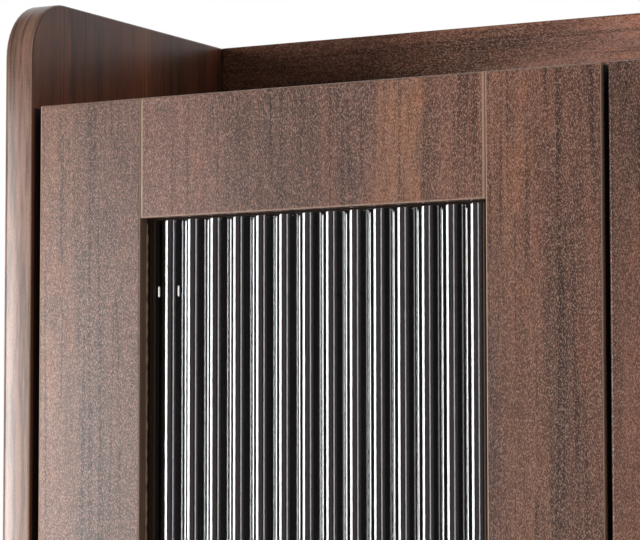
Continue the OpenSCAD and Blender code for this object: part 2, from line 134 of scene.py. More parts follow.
class Tree:
    """A node tree, and the few kinds of node that the finishes are made of."""

    def __init__(self, node_tree):
        self.tree = node_tree
        self.tree.nodes.clear()

    def node(self, kind, settings=(), inputs=(), output=0):
        """Adds a node: settings first, because they can change its sockets, then its inputs."""
        made = self.tree.nodes.new(kind)
        for name, value in dict(settings).items():
            setattr(made, name, value)
        for name, value in dict(inputs).items():
            if isinstance(value, Wire):
                self.tree.links.new(value.socket, made.inputs[name])
            else:
                made.inputs[name].default_value = value
        return Wire(self, made.outputs[output]) if made.outputs else made

    def xyz(self, vector):
        """The three parts of a vector."""
        parts = self.node("ShaderNodeSeparateXYZ", (), {"Vector": vector})
        return parts.other("X"), parts.other("Y"), parts.other("Z")

    def vector(self, x, y, z):
        return self.node("ShaderNodeCombineXYZ", (), {"X": x, "Y": y, "Z": z})

    def sum(self, a, b):
        return self.node("ShaderNodeVectorMath", {"operation": "ADD"}, {0: a, 1: b})

    def place(self, stretch, shift=(0, 0, 0)):
        """Object coordinates, scaled by stretch and moved by shift."""
        where = self.node("ShaderNodeTexCoord", (), (), "Object")
        return self.node("ShaderNodeMapping", (),
                         {"Vector": where, "Scale": stretch, "Location": shift})

    def noise(self, vector, scale, detail=2.0, roughness=0.5, distortion=0.0):
        return self.node("ShaderNodeTexNoise", (),
                         {"Vector": vector, "Scale": scale, "Detail": detail,
                          "Roughness": roughness, "Distortion": distortion})

    def blend(self, mask, below, over, how="MIX"):
        """Mixes two colours: below where the mask is 0, over where it is 1."""
        return self.node("ShaderNodeMix", {"data_type": "RGBA", "blend_type": how},
                         {0: mask, 6: below, 7: over}, 2)

    def times(self, tone, red, green, blue):
        """A colour whose red, green and blue are each multiplied by a number of their own."""
        return self.blend(1, tone, self.vector(red, green, blue), "MULTIPLY")


print("operators of a wire:", [name for name in vars(Wire) if name.startswith("__r")])

# %% [markdown]
# Colours are written as a screen shows them, because that is how one judges them, and turned into
# the linear light that nodes reckon in. Each material is a tree with one surface shader. What is
# the same all over goes straight on the shader's own socket, and what changes comes by a wire.

# %% Colours and materials
def colour(red, green, blue):
    """A colour from 0 to 255 in linear light: part / 12.92 when it is dark, and otherwise
    ((part + 0.055) / 1.055) to the power of 2.4."""
    parts = np.array([red, green, blue]) / 255
    linear = np.where(parts <= 0.04045, parts / 12.92, ((parts + 0.055) / 1.055) ** 2.4)
    return (*linear.tolist(), 1.0)


class Finish(Tree):
    """A material with one surface shader. Constants go straight on the shader's own sockets."""

    def __init__(self, name, **constants):
        self.material = bpy.data.materials.new(name)
        self.material.use_nodes = True
        super().__init__(self.material.node_tree)
        self.shader = self.tree.nodes.new("ShaderNodeBsdfPrincipled")
        ending = self.tree.nodes.new("ShaderNodeOutputMaterial")
        self.tree.links.new(self.shader.outputs[0], ending.inputs["Surface"])
        for socket, value in constants.items():
            self.shader.inputs[socket.replace("_", " ")].default_value = value

    def feed(self, **wires):
        """Links wires to the shader's sockets, an underscore standing for a space."""
        for socket, wire in wires.items():
            self.tree.links.new(wire.socket, self.shader.inputs[socket.replace("_", " ")])
        return self.material

    def bump(self, height, distance=1.0, strength=1.0):
        """A normal that leans as if the surface rose by height times distance, in metres."""
        return self.node("ShaderNodeBump", (),
                         {"Height": height, "Distance": distance, "Strength": strength})


print("mid grey in linear light:", [round(v, 3) for v in colour(128, 128, 128)])

# %% [markdown]
# The light is that of a plain photo studio. The world fills the shadows: it is bright behind the
# cupboard and dim in front. The camera sees it white. What shines or is clear sees it white
# behind and nearly black in front, so that the flutes of the glass stay dark between their bright
# lines. A Light Path node tells these kinds of ray apart.

# %% World
WORLD_FRONT, WORLD_BACK = 0.17, 0.85
GLOSS_FRONT = 0.03


def make_world():
    """Going from front to back, the fill runs from WORLD_FRONT to WORLD_BACK, and what is
    mirrored or seen through glass first runs from GLOSS_FRONT to 1."""
    world = bpy.data.worlds.new("studio")
    world.use_nodes = True
    bpy.context.scene.world = world
    tree = Tree(world.node_tree)
    where = tree.node("ShaderNodeTexCoord", (), (), "Generated")
    behind = tree.xyz(where)[1].rise(-0.05, 0.45)
    ray = tree.node("ShaderNodeLightPath", (), (), "Is Camera Ray")
    clear = ray.other("Is Glossy Ray").most(ray.other("Is Transmission Ray"))
    first = 1 - ray.other("Diffuse Depth").least(1)
    fill = WORLD_FRONT + (WORLD_BACK - WORLD_FRONT) * behind
    shine = GLOSS_FRONT + (1 - GLOSS_FRONT) * behind
    mixed = fill + (shine - fill) * clear * first
    strength = mixed + (1 - mixed) * ray
    light = tree.node("ShaderNodeBackground", (), {"Color": (1, 1, 1, 1), "Strength": strength})
    tree.node("ShaderNodeOutputWorld", (), {"Surface": light})


make_world()
bpy.context.scene.view_settings.view_transform = "Standard"
print("world: front", WORLD_FRONT, "back", WORLD_BACK)

# %% [markdown]
# Tall soft boxes stand before the doors. Because the panes are fluted, each box gives one thin
# bright line on every flute. Its angle from the doors sets where the line lies on the flute, and
# its width how thick the line is. A far lamp's line lies at the same place on every flute; a near
# one's drifts from flute to flute, as the lines of the real pane do, and that drift tells how far
# away each of them stood. The first two lamps light the boards. The other six reach only the
# panes: four strips draw the lines, and two glows add a faint sheen between them.

# %% Lamps
PANE_CENTRE = Vector((-0.165, -0.005, 0))
WATTS_PER_RADIANCE = math.pi
panes = bpy.data.collections.new("panes")
boards = bpy.data.collections.new("all_but_panes")


def soft_box(name, azimuth, away, degrees_wide, low, high, radiance, tint=(1, 1, 1), shows=True,
             reaches=None):
    """A tall lamp, azimuth degrees to the right of the doors' normal, facing the left pane from
    so many metres away. Its width is what degrees_wide covers at that distance, and low and high
    are the heights of its ends. A lamp's power is its radiance times its area times pi. One that
    doesn't show lights the cupboard but isn't mirrored in it. One that reaches only the panes, or
    only the boards, is as a lamp that has black flags beside it."""
    lamp = bpy.data.lights.new(name, "AREA")
    lamp.shape = "RECTANGLE"
    lamp.size = 2 * away * math.tan(math.radians(degrees_wide / 2))
    lamp.size_y = high - low
    lamp.energy = radiance * lamp.size * lamp.size_y * WATTS_PER_RADIANCE
    lamp.color = tint
    box = bpy.data.objects.new(name, lamp)
    turn = math.radians(azimuth)
    box.location = PANE_CENTRE + Vector((math.sin(turn) * away, -math.cos(turn) * away,
                                         (low + high) / 2))
    box.rotation_euler = (math.pi / 2, 0, turn)
    box.visible_camera = False
    box.visible_transmission = False
    box.visible_glossy = shows
    box.light_linking.receiver_collection = reaches
    bpy.context.scene.collection.objects.link(box)


soft_box("key_box", -37, 1.6, 10, 1.3, 2.05, 36, shows=False)
soft_box("sheen_strip", -42, 2.5, 8, 0.9, 1.95, 22, reaches=boards)
soft_box("main_strip", -45, 2.5, 10.5, 0.9, 2.1, 9, reaches=panes)
soft_box("side_strip", -69, 0.266, 6, 1.2, 1.85, 7.5, reaches=panes)
soft_box("right_strip", 25.5, 0.645, 3.6, 1.2, 1.95, 1.5, reaches=panes)
soft_box("front_strip", -14.1, 1.25, 5, 0.9, 2.0, 2.8, (0.98, 0.97, 1), reaches=panes)
soft_box("far_glow", -8, 2.5, 13, 0.9, 2.2, 0.18, (1, 0.85, 0.88), reaches=panes)
soft_box("room_glow", -29, 2.5, 15, 0.9, 2.2, 0.24, (1, 0.78, 0.82), reaches=panes)

# %% [markdown]
# The hutch stands on a pale floor, which only catches its shadow and sends some light back up.
# It is a grid whose height is constant, so it is made like every other surface here: as numpy
# arrays that go into a mesh in one call each.

# %% Meshes from arrays
SHARP_DEGREES = 30


def mesh_object(name, points, faces, closed=True):
    """Puts an (n, 3) array of points and a list of faces into a new object at the origin. A
    closed mesh gets its normals outwards, and edges that turn past SHARP_DEGREES stay sharp."""
    mesh = bpy.data.meshes.new(name)
    mesh.from_pydata(points.tolist(), [], faces)
    if closed:
        shell = bmesh.new()
        shell.from_mesh(mesh)
        bmesh.ops.recalc_face_normals(shell, faces=shell.faces)
        shell.to_mesh(mesh)
        shell.free()
    mesh.polygons.foreach_set("use_smooth", [True] * len(mesh.polygons))
    mesh.set_sharp_from_angle(angle=math.radians(SHARP_DEGREES))
    mesh.update()
    piece = bpy.data.objects.new(name, mesh)
    bpy.context.scene.collection.objects.link(piece)
    return piece


def grid_faces(rows, columns, wrap_rows=False, wrap_columns=False):
    """Quads over a grid of points numbered row by row. Wrapping joins the last to the first."""
    r = np.arange(rows if wrap_rows else rows - 1)[:, None]
    c = np.arange(columns if wrap_columns else columns - 1)[None, :]
    r2, c2 = (r + 1) % rows, (c + 1) % columns
    quads = np.stack([r * columns + c, r * columns + c2, r2 * columns + c2, r2 * columns + c], -1)
    return quads.reshape(-1, 4).tolist()


FLOOR_HALF, FLOOR_POINTS = 6, 9


def make_floor():
    """A square on z = 0: x and y run over the same span, and the height is 0."""
    span = np.linspace(-FLOOR_HALF, FLOOR_HALF, FLOOR_POINTS)
    x, y = np.meshgrid(span, span)
    points = np.stack([x, y, 0 * x], -1).reshape(-1, 3)
    floor = mesh_object("floor", points, grid_faces(FLOOR_POINTS, FLOOR_POINTS), closed=False)
    finish = Finish("floor_paint", Roughness=0.8)
    cloud = finish.noise(finish.place((1, 1, 1)), 3)
    shade = finish.blend(cloud, colour(232, 231, 229), colour(238, 237, 236))
    floor.data.materials.append(finish.feed(Base_Color=shade))
    return floor


print("floor:", len(make_floor().data.polygons), "faces")

# %% [markdown]
# The walnut is not wood but a printed foil with an embossed face. From far away it is broad
# bands of tone along the grain; nearer, thin streaks; nearest, short pores, whose light ones are
# glossier and partly a painted sparkle.
# A picture of wood could be wrapped round each board, but it would repeat and need seams. Here
# each layer is a noise that is stretched along the grain by its own amount, and a seed shifts
# it, as if the foil were cut from another place on the roll.

# %% A foil and its grain
AXES = {"x": 0, "y": 1, "z": 2}


def along_grain(grain, share):
    """A scale of 1 across the grain and of share along it."""
    return tuple(share if AXES[grain] == i else 1 for i in range(3))


class Foil(Finish):
    """A walnut foil on a board. grain is the axis that the streaks follow, and face the axis that
    the board's large faces look along."""

    def __init__(self, name, grain, seed, face, sheen):
        super().__init__(name, Specular_IOR_Level=sheen, Coat_IOR=1.9, Coat_Roughness=0.26)
        self.grain, self.face = grain, face
        self.shift = (seed * 1.7, seed * 2.3, seed * 3.1)
        self.here = self.xyz(self.place((1, 1, 1)))

    def grained(self, share, *noise):
        """A noise that is drawn out along the grain: the smaller the share, the longer it is."""
        return self.noise(self.place(along_grain(self.grain, share), self.shift), *noise)


print("scale of a streak on an upright board:", along_grain("z", 0.055))

# %% [markdown]
# The print comes first. Its bands are one slow noise, cut into three tones, whose edges sway a
# little along the board. Where a board of the real hutch shows a band at a known place, a figure
# is laid over the noise: a soft stripe with ragged edges, which may lean. The upstand's one figure
# is not print but a painted pool of light.

# %% The print
SHADE, MID = (82, 58, 48), (112, 75, 60)
ROSE, TAN = (113, 80, 70), (126, 86, 64)
BAND_SWAY, FIGURE_SWAY, FIGURE_RAGS = 0.016, 0.010, 0.022


def printed_bands(foil, figures):
    """The bands are SHADE, MID and ROSE as the noise rises. Each figure is a stripe of tone that
    a board shows at a known place; the upstand's one figure is a painted pool of light instead.
    A figure is (centre, half width, lean, colour, strength), with the centre in metres across the
    grain and the lean in metres across for each metre along it."""
    sway = foil.grained(0.35, 9, 1) - 0.5
    bent = foil.sum(foil.place(along_grain(foil.grain, 0.09), foil.shift),
                    foil.vector(sway * BAND_SWAY, sway * BAND_SWAY, sway * BAND_SWAY))
    bands = foil.noise(bent, 24, 1.5, 0.45)
    wood = foil.blend(bands.rise(0.30, 0.52), colour(*SHADE), colour(*MID))
    wood = foil.blend(bands.rise(0.52, 0.70), wood, colour(*ROSE))
    if figures:
        rags = (foil.grained(0.10, 120, 2, 0.65) - 0.5) * FIGURE_RAGS
        along, out = AXES[foil.grain], AXES[foil.face]
        across = foil.here[3 - along - out] + rags + sway * FIGURE_SWAY
        for centre, half, lean, tone, strength in figures:
            mask = (across - foil.here[along] * lean).near(centre, half * 0.7, half * 0.6)
            wood = foil.blend(mask * strength, wood, colour(*tone))
    return wood


print("tones of the bands:", SHADE, MID, ROSE)

# %% [markdown]
# Over the bands lie the finer layers: light streaks, hair lines, a few dark lines, clouds that
# turn the brown warmer or cooler, and dark pores. They only multiply the print, so one board can
# be tinted as a whole. Where a board ends behind another, the joint is dark.

# %% Streaks, clouds and pores
JOINT_SOFT = 0.0004


def grained_tone(foil, wood, streaks, dark, tint, joint):
    """The print times a tone: 0.67, plus 0.34 on a streak and 0.14 on a hair line; a dark line
    takes 0.42 of it and a pore 0.56. Beyond joint, in metres from the middle, 0.94 goes too. A
    warm or a cool cloud changes red, green and blue each by its own amount."""
    lines = foil.grained(0.02, 330, 1, 0.5, 0.6)
    hairs = foil.grained(0.10, 620, 2, 0.6)
    clouds = foil.grained(0.36, 85, 3, 0.7)
    warm, cool = clouds.rise(0.52, 0.70), clouds.rise(0.48, 0.30)
    tone = 0.67 + 0.34 * streaks.rise(0.25, 0.75) + 0.14 * hairs.rise(0.3, 0.7)
    tone = tone * (1 - 0.42 * lines.rise(0.42, 0.34)) * (1.01 - 0.56 * dark)
    if joint:
        tone = tone * (1 - 0.94 * abs(foil.here[0]).rise(joint, joint + JOINT_SOFT))
    return foil.times(wood, tone * (1 + 0.22 * warm - 0.23 * cool) * tint[0],
                      tone * (1 + 0.08 * warm - 0.19 * cool) * tint[1],
                      tone * (1 - 0.05 * warm - 0.11 * cool) * tint[2])


print("the darkest pore leaves", round(1.01 - 0.56, 2), "of the tone")

# %% [markdown]
# Board edges carry a tape: it is smoother and lighter, and its eased corners show as a thin tan
# line. That line is partly the tape's own lighter colour and partly a painted highlight, where
# the corners would catch the light. The object's own normal tells a face from an edge, so one
# finish serves both, with no second material and no painted mask. Where the end of a tape lies
# flush in a door's face, beside a joint, no normal tells, so such a seam is given by its place.

# %% Edge tape
# The tan line's colour is partly the tape's own and partly a painted highlight on the corners.
TAPE, TAPE_LINE_AND_HIGHLIGHT = (140, 107, 92), (182, 154, 134)
SIDE_MIDDLE = 0.341
SEAM_SOFT = 0.0003


def tape_masks(foil, arris, crown, seams):
    """The tape's mask, the mask of its light corners, and the normal's parts. The less of the
    normal points along the face's axis, the more a spot is tape. A corner's line is partly the
    tape's colour and partly a painted highlight. It is as strong as arris says, is weaker where it
    looks up or down, and on a crowned panel runs on its inner side only. Each seam is (axis across
    it, centre, half width, strength)."""
    facing = foil.xyz(foil.node("ShaderNodeTexCoord", (), (), "Normal"))
    out = abs(facing[AXES[foil.face]])
    tape = out.rise(0.985, 0.93) if arris > 0.5 else out.rise(0.75, 0.55)
    upright = 1 - (0.4 if crown else 0.85) * abs(facing[2]).rise(0.15, 0.5)
    line = tape * out.rise(0.10, 0.3) * upright * arris
    if crown:
        line = line * (abs(foil.here[0]) - SIDE_MIDDLE).rise(0.001, -0.001)
    for axis, centre, half, strength in seams:
        line = line.most(foil.here[axis].near(centre, half, SEAM_SOFT) * strength)
    return tape.most(line), line, facing


def tape_colour(foil, line, facing, crown):
    """Runs of tone along the tape, with the tan line over them. On a board that faces the front,
    the tape keeps 0.3 of its colour on the underside and 0.7 on the top: painted shade under the
    edge and on its top."""
    lengthways = (1, 0.05, 0.05) if crown else along_grain(foil.grain, 0.05)
    run = foil.noise(foil.place(lengthways, foil.shift), 400, 3, 0.65)
    deep = colour(*[v * (0.67 if crown else 0.72) for v in TAPE])
    cover = foil.blend(run.rise(0.34, 0.62), deep, colour(*TAPE))
    cover = foil.blend(line * 0.85, cover, colour(*TAPE_LINE_AND_HIGHLIGHT))
    if foil.face == "y":
        # Painted shade: the tape is darker on its underside, and a little darker on its top edge.
        left = 1 - 0.7 * facing[2].rise(-0.5, -0.9) - 0.3 * facing[2].rise(0.3, 0.8)
        cover = foil.times(cover, left, left, left)
    return cover


print("tape:", TAPE, "its line:", TAPE_LINE_AND_HIGHLIGHT)

# %% [markdown]
# The front edge of a side panel is crowned, which means that it bulges by a hair, and lacquered.
# Its shine therefore lies on one part of its width and follows the rounded corner at the top.
# The bulge is too small to need a mesh, so it goes into the bump: a parabola across the edge and
# another up the corner.

# %% Crowned edges
CORNER_FOOT, CORNER_TOP, CORNER_CURVE = 1.728, 1.768, 0.894
DIM_FOOT, DIM_TOP, LACQUER_FOOT = 1.66, 1.765, 1.73


def crowned_edge(foil, cover, height, tape, lit, dark, crown):
    """The height drops by crown times the square of the distance from the edge's middle, and by
    CORNER_CURVE times the square of the way up the corner. The lacquer's weight is 0.22, rising
    to 0.59 on the outer side, and a tenth of that at the corner's top. The colour loses 0.3
    between DIM_FOOT and DIM_TOP, a painted shade that darkens the edge towards its corner."""
    off = abs(foil.here[0]) - SIDE_MIDDLE
    high = foil.here[2]
    rounding = (high.least(CORNER_TOP) - CORNER_FOOT).most(0)
    height = height - (off * off * crown + rounding * rounding * CORNER_CURVE) * tape
    # Painted shade: the edge's colour darkens towards the rounded corner at the top.
    shade = (1 - 0.3 * high.rise(DIM_FOOT, DIM_TOP)) * (1 + 0.18 * lit - 0.13 * dark)
    lacquer = 0.22 + 0.37 * off.rise(-0.001, 0.008)
    foil.feed(Coat_Weight=tape * lacquer * (1 - 0.9 * high.rise(LACQUER_FOOT, CORNER_TOP)))
    return foil.times(cover, shade, shade, shade), height


print("a crown of 5 drops", round(5 * 0.009 ** 2 * 1000, 1), "mm at the side of an 18 mm edge")

# %% [markdown]
# Now the layers come together: print, streaks and pores on the face, tape on the edges, and the
# pores and streaks once more in the bump, because on the real foil they are pressed in.

# %% The walnut finish
# The light pores' colour is partly the foil's own and partly a painted sparkle.
FLECK_AND_SPARKLE = (184, 149, 134)
EMBOSS = 0.00004
ROUGHER = 0.06


def walnut(name, grain="z", seed=0, face="y", figures=(), seams=(), fleck=1.0, gloss=0.22,
           tint=(1, 1, 1), crown=0.0, sheen=0.5, joint=0.0, arris=0.3):
    """A whole foil. fleck is how strong its pores are and gloss its roughness; tint multiplies
    the print, and sheen is the specular level. crown, in 1/m, rounds and lacquers the front edge
    of a side panel. Figures, joint, seams and arris are explained above."""
    foil = Foil(name, grain, seed, face, sheen)
    streaks = foil.grained(0.055, 190, 3, 0.62)
    pores = foil.grained(0.46, 2120, 0.8, 0.5, 0.25)
    lit, dark = pores.rise(0.53, 0.65), pores.rise(0.47, 0.35)
    deep = dark * fleck
    wood = grained_tone(foil, printed_bands(foil, figures), streaks, deep, tint, joint)
    # Light pores: a lighter foil colour, partly a painted sparkle.
    wood = foil.blend(lit * (0.50 * fleck), wood, colour(*FLECK_AND_SPARKLE))
    tape, line, facing = tape_masks(foil, arris, crown, seams)
    cover = tape_colour(foil, line, facing, crown)
    height = (pores * fleck + streaks) * EMBOSS * (1 - tape)
    if crown:
        cover, height = crowned_edge(foil, cover, height, tape, lit, dark, crown)
    return foil.feed(Base_Color=foil.blend(tape, wood, cover),
                     Roughness=gloss + ROUGHER * (1 - lit + deep) * (1 - tape),
                     Normal=foil.bump(height))


def dress(names, material):
    """Gives CAD nodes their finish, by their own material slots."""
    for name in names.split():
        for place in nodes[name].material_slots:
            place.material = material


print("pores and streaks each rise by up to", round(EMBOSS * 1000, 3), "mm")

# %% [markdown]
# The left door is the one that is seen best, so its bands and the tapes in its joints lie where
# the real ones do. The tan lines of those tapes, and one on the door's right edge, are partly
# painted highlight. The boards of a door share one seed, as if cut from the same sheet, and each
# door and drawer front has a seed of its own.

# %% Walnut on the doors and drawers
DOOR_FIGURES = ((-0.316, 0.013, 0, TAN, 0.45), (-0.280, 0.016, 0, SHADE, 0.75),
                (-0.238, 0.026, 0, (106, 76, 66), 0.8), (-0.184, 0.030, 0, SHADE, 0.95),
                (-0.140, 0.014, 0, SHADE, 0.6), (-0.112, 0.011, 0, TAN, 0.95),
                (-0.081, 0.014, 0, MID, 0.8), (0.040, 0.012, -0.055, TAN, 0.35),
                (-0.014, 0.015, 0, SHADE, 0.5))
# Seams are tan lines laid by place at the joints and along the rail's lower edge, partly the tape's
# colour and partly painted highlight. The stiles' last one lies on the left door's right edge: a
# painted highlight on its corner.
RAIL_SEAMS = ((0, -0.0655, 0.0009, 0.66), (0, -0.2645, 0.0002, 0.7), (2, 1.6773, 0.0006, 0.5))
STILE_SEAMS_AND_HIGHLIGHT = ((0, -0.0646, 0.0003, 0.9), (0, -0.2653, 0.0003, 0.5), (0, -0.0021, 0.0004, 0.3))

dress("upper_left_stiles",
      walnut("walnut_ul_stiles", seed=1, figures=DOOR_FIGURES, seams=STILE_SEAMS_AND_HIGHLIGHT, fleck=0.9,
             arris=0.9))
dress("upper_left_rails",
      walnut("walnut_ul_rails", seed=1, figures=DOOR_FIGURES, seams=RAIL_SEAMS, fleck=0.98,
             arris=0.52))
dress("upper_right_stiles upper_right_rails", walnut("walnut_ur_door", seed=2, fleck=0.75))
dress("lower_left_stiles lower_left_rails lower_left_panel", walnut("walnut_ll_door", seed=3))
dress("lower_right_stiles lower_right_rails lower_right_panel", walnut("walnut_lr_door", seed=4))
dress("left_drawer_front", walnut("walnut_l_front", seed=5))
dress("right_drawer_front", walnut("walnut_r_front", seed=6))
print("doors and drawer fronts dressed, with", len(DOOR_FIGURES), "figures on the left door")

# %% [markdown]
# The carcass has the same foil. The inner face of a side panel looks redder and smoother than
# the doors, so its tint is warm and its pores are weak. That warm tint is partly painted light:
# it stands for the reddish light that bounces in the shaded gallery above the doors. The upstand
# at the back of that gallery has painted light too: a tint that lightens it all over, and one
# light band that leans, so that it lies towards its middle, as a painted pool of light where the
# side panel's shadow ends. The grain of the level boards and of the upstand runs along x, from
# side to side.

# %% Walnut on the carcass
SIDE_FIGURES = ((0.0139, 0.004, 0, (138, 92, 76), 0.5), (0.0226, 0.004, 0, (64, 42, 35), 0.6),
                (0.045, 0.018, 0, (124, 90, 74), 0.3), (0.1028, 0.007, 0, (146, 104, 68), 0.4),
                (0.120, 0.012, 0, (72, 47, 38), 0.25))
# The sides' warm tint is partly painted light, for the reddish light bounced in the shaded gallery.
SIDE_LOOK = {"face": "x", "fleck": 0.25, "gloss": 0.26, "tint": (1.38, 1.03, 0.78),
             "crown": 5.0, "sheen": 0.3, "arris": 0.85}
# The upstand's one figure is painted light: a light band that leans, so that it lies where the side
# panel's shadow ends.
UPSTAND_PAINTED_LIGHT = ((1.76, 0.08, 0.5, (145, 107, 96), 1),)
UPSTAND_JOINT = 0.3313

dress("hutch_side_left", walnut("walnut_side_left", seed=7, figures=SIDE_FIGURES, **SIDE_LOOK))
dress("hutch_side_right base_side_left base_side_right drawer_partition",
      walnut("walnut_sides", seed=8, **SIDE_LOOK))
# The upstand's light tint brightens it all over, as painted light.
dress("hutch_upstand toe_kick",
      walnut("walnut_upstand", "x", 9, figures=UPSTAND_PAINTED_LIGHT, fleck=0.9, gloss=0.34,
             tint=(1.42, 1.36, 1.27), sheen=0.2, joint=UPSTAND_JOINT))
dress("worktop hutch_bottom_panel hutch_top_panel hutch_shelf base_bottom drawer_deck base_shelf",
      walnut("walnut_decks", "x", 10, "z", fleck=0.6))
dress("wall_fixing_rail", walnut("walnut_rail", "x", 11, fleck=0.6))
print("walnut on", sum(o.material_slots[0].material.name[:6] == "walnut" for o in nodes.values()))

# %% [markdown]
# What the doors hide is made of cheaper board: a printed sheet at the back, drawer sides wrapped
# in a pale paper foil, a drawer base, beech dowels, and the dark strips that hold the panes. They
# have a soft mottle along the board and a fine grain that also roughens them.

# %% Boards that are not walnut
def plain_board(name, tone, darker, scale, grain="x"):
    """A printed or bare board: a soft mottle, finer lengthways than across."""
    finish = Finish(name)
    mottle = finish.noise(finish.place(along_grain(grain, 0.2)), scale, 3, 0.6)
    fine = finish.noise(finish.place((1, 1, 1)), 900, 1)
    base = finish.blend(mottle.rise(0.3, 0.7), colour(*darker), colour(*tone))
    return finish.feed(Base_Color=base, Roughness=0.5 + 0.2 * fine,
                       Normal=finish.bump(fine, 0.0001, 0.4))


dress("base_back_panel hutch_back_panel",
      plain_board("dark_back_board", (88, 64, 53), (74, 53, 44), 60, "z"))
dress("left_drawer_box right_drawer_box",
      plain_board("drawer_board", (206, 200, 190), (196, 189, 178), 90, "y"))
dress("left_drawer_bottom right_drawer_bottom",
      plain_board("drawer_base_board", (198, 192, 182), (188, 181, 171), 90, "y"))
dress("stage_dowels", plain_board("beech", (205, 165, 120), (188, 146, 102), 220, "z"))
dress("upper_left_beads upper_right_beads",
      plain_board("bead_strip", (84, 61, 51), (70, 50, 42), 150, "z"))
print("plain boards dressed")

# %% [markdown]
# The pulls are brushed brass: the brush leaves fine lines lengthways, which spread the shine
# across them. Hinges are nickel plated, slides are zinc plated sheet, and the cam locks are cast,
# so these are rougher. Glides and pads come from a mould, and keep its faint grain.

# %% Metal, plastic and rubber
def metal(name, tone, roughness, scale, grain="z"):
    """Brushed or plated metal: fine lines along one axis change its roughness and tone."""
    finish = Finish(name, Metallic=1.0)
    brush = finish.noise(finish.place(along_grain(grain, 0.02)), scale, 2, 0.6)
    cloud = finish.noise(finish.place((1, 1, 1)), 70, 2)
    base = finish.blend(brush, colour(*[v * 0.9 for v in tone]), colour(*tone))
    return finish.feed(Base_Color=base, Roughness=roughness + 0.12 * brush + 0.06 * cloud,
                       Normal=finish.bump(brush, 0.00005, 0.3))


def moulded(name, tone, roughness, scale):
    """Plastic or rubber with a faint grain of the mould."""
    finish = Finish(name)
    grain = finish.noise(finish.place((1, 1, 1)), scale, 2)
    base = finish.blend(grain.rise(0.3, 0.7), colour(*[v * 0.88 for v in tone]), colour(*tone))
    return finish.feed(Base_Color=base, Roughness=roughness + 0.12 * grain,
                       Normal=finish.bump(grain, 0.0001, 0.3))


BRASS = (203, 170, 112)
dress("upper_left_pull upper_right_pull lower_left_pull lower_right_pull",
      metal("brushed_brass", BRASS, 0.24, 900))
dress("left_drawer_pull right_drawer_pull", metal("brushed_brass_flat", BRASS, 0.24, 900, "x"))
dress("hinge_arms upper_left_hinge_cups upper_right_hinge_cups lower_left_hinge_cups "
      "lower_right_hinge_cups", metal("nickel_plate", (200, 200, 198), 0.2, 500, "y"))
dress("hinge_screws shelf_pins", metal("steel_screw", (186, 188, 190), 0.28, 700, "x"))
dress("slide_outer_members left_slide_middle right_slide_middle left_slide_inner "
      "right_slide_inner", metal("zinc_steel", (178, 182, 186), 0.34, 400, "y"))
dress("cam_locks", metal("cast_zinc", (160, 160, 158), 0.42, 300, "z"))
dress("floor_glides", moulded("black_plastic", (30, 30, 31), 0.5, 600))
dress("door_bumpers", moulded("soft_pad", (190, 188, 182), 0.6, 900))
print("metal and plastic dressed")

# %% [markdown]
# Apart from the gaskets, the finer pieces are all upright strips: a closed outline, seen from
# above, that is carried up from one height to another. One function makes them. Each ring of
# points may be drawn in towards its middle, which rounds the ends of a white pad or lets a bead of
# sealant waver.

# %% An outline carried up
def carried(name, x, y, heights, material, shares=1.0):
    """One ring at each height, its points at middle + share (outline - middle), and flat ends."""
    outline = np.stack([x, y], -1)
    middle = outline.mean(0)
    rings = middle + (outline - middle) * np.broadcast_to(shares, len(heights))[:, None, None]
    z = np.broadcast_to(np.reshape(heights, (-1, 1, 1)), (*rings.shape[:2], 1))
    points = np.concatenate([rings, z], -1).reshape(-1, 3)
    count, last = len(x), len(x) * (len(heights) - 1)
    faces = grid_faces(len(heights), count, wrap_columns=True)
    faces += [list(range(count)), list(range(last, last + count))]
    piece = mesh_object(name, points, faces)
    piece.data.materials.append(material)
    return piece


def circle(points):
    """The angles of so many points round a circle."""
    return np.linspace(0, 2 * math.pi, points, endpoint=False)


print("faces of a six-sided post:", len(grid_faces(2, 6, wrap_columns=True)) + 2)

# %% [markdown]
# The pane is fluted: flat at the back, with seventeen convex reeds in front. Each reed is part of
# a cylinder, so it shows every lamp as one upright line. The packed pane has only a few facets
# on each reed, and its lines would break, so a finer pane stands for it. It lets the lamps'
# shadow rays through, as thin glass nearly does.

# %% Fluted panes
REED, REED_RADIUS, REED_STEPS, REEDS = 0.01376, 0.0145, 24, 17
DOOR_EDGE, FIRST_REED = 0.3285, 0.0760
SAME_PLACE = 1e-7


def pane_profile(side, low, high):
    """The pane's outline seen from above. Over a reed centred at c the front is at
    depth = radius - sqrt(radius^2 - (x - c)^2) behind the crest; the back is flat."""
    centres = DOOR_EDGE - FIRST_REED - REED * (np.arange(REEDS) - 1)
    u = np.linspace(-REED / 2, REED / 2, REED_STEPS + 1)
    x = (centres[:, None] - u[None, :]).ravel()
    depth = np.tile(REED_RADIUS - np.sqrt(REED_RADIUS ** 2 - u ** 2), REEDS)
    keep = (x <= high.x) & (x >= low.x)
    x, depth = x[keep], depth[keep]
    fresh = np.concatenate([[True], np.abs(np.diff(x)) > SAME_PLACE])
    x, depth = x[fresh], depth[fresh]
    valley = depth.max()
    x = np.concatenate([[high.x], x, [low.x], [low.x, high.x]])
    y = low.y + np.concatenate([[valley], depth, [valley], [high.y - low.y] * 2])
    return side * x, y


def fluted_pane(name, node, body, side, material):
    """The pane's outline carried from its lower end to its upper end."""
    low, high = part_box(node)
    if side < 0:
        low, high = Vector((-high.x, low.y, low.z)), Vector((-low.x, high.y, high.z))
    x, y = pane_profile(side, low, high)
    pane = carried(name, x, y, (low.z, high.z), material)
    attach(pane, body)
    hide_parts(node)
    pane.visible_shadow = False
    panes.objects.link(pane)
    boards.objects.link(pane)
    boards.collection_objects[-1].light_linking.link_state = "EXCLUDE"
    return pane


